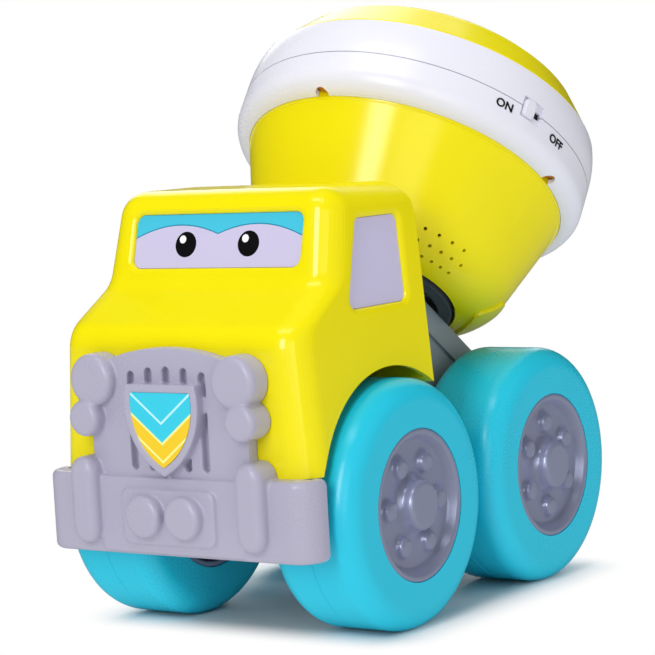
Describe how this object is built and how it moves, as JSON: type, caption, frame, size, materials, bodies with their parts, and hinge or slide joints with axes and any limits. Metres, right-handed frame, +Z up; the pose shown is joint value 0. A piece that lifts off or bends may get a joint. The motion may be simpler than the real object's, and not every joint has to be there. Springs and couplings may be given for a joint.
{
  "type": "toy cement mixer",
  "caption": "Toy cement mixer truck: rounded cab with grille and bumper, large wheels on axles, and a leaning drum that spins on a sloping deck and carries a sliding sound switch.",
  "frame": {"origin": "middle of the bounding box's base, on the floor", "axes": "+X to the truck's left, +Y from the bumper to the tail, +Z up"},
  "size_m": [0.1572, 0.2677, 0.2495],
  "materials": {
    "yellow_plastic": "gloss",
    "tyre_plastic": "gloss",
    "rim_plastic": "metallic satin",
    "grille_plastic": "satin",
    "frame_plastic": "satin",
    "hub_plastic": "satin",
    "window_plastic": "gloss",
    "shield_print": "gloss",
    "belt_plastic": "gloss",
    "bush_plastic": "matte",
    "board": "matte",
    "black_plastic": "matte",
    "steel": "plain",
    "brass": "plain"
  },
  "bodies": {
    "truck": {"chassis": "frame_plastic", "rear_frame": "frame_plastic", "turntable": "hub_plastic", "turntable_screws": "steel", "drum_spindle": "steel", "spindle_washer": "steel", "spindle_screw": "steel", "cab_shell": "yellow_plastic", "windscreen": "window_plastic", "left_window": "window_plastic", "right_window": "window_plastic", "grille_bumper": "grille_plastic", "grille_shield": "shield_print", "frame_screws": "steel", "bumper_screws": "steel"},
    "front_wheels": {"front_axle": "steel", "front_left_tyre": "tyre_plastic", "front_right_tyre": "tyre_plastic", "front_left_rim": "rim_plastic", "front_right_rim": "rim_plastic"},
    "rear_wheels": {"rear_axle": "steel", "rear_left_tyre": "tyre_plastic", "rear_right_tyre": "tyre_plastic", "rear_left_rim": "rim_plastic", "rear_right_rim": "rim_plastic"},
    "drum": {"drum_bowl": "yellow_plastic", "lower_belt": "belt_plastic", "upper_belt": "belt_plastic", "drum_dome": "yellow_plastic", "drum_bush": "bush_plastic", "drum_screws": "steel", "circuit_board": "board", "speaker": "black_plastic", "button_cells": "steel", "battery_contacts": "brass", "battery_door": "yellow_plastic", "door_screw": "steel", "switch_body": "black_plastic"},
    "switch": {"switch_knob": "belt_plastic"}
  },
  "joints": [
    {"name": "front_axle_spin", "type": "hinge", "parent": "truck", "child": "front_wheels", "pos_m": [0, -0.05885, 0.05], "axis": [1, 0, 0], "continuous": true},
    {"name": "rear_axle_spin", "type": "hinge", "parent": "truck", "child": "rear_wheels", "pos_m": [0, 0.04715, 0.05], "axis": [1, 0, 0], "continuous": true},
    {"name": "drum_spin", "type": "hinge", "parent": "truck", "child": "drum", "pos_m": [0, 0.01855, 0.1247], "axis": [0, 0.5764, 0.8171], "continuous": true},
    {"name": "sound_switch", "type": "slide", "parent": "drum", "child": "switch", "axis": [0.342, 0.7679, -0.5417], "range_m": [0, 0.004]}
  ]
}
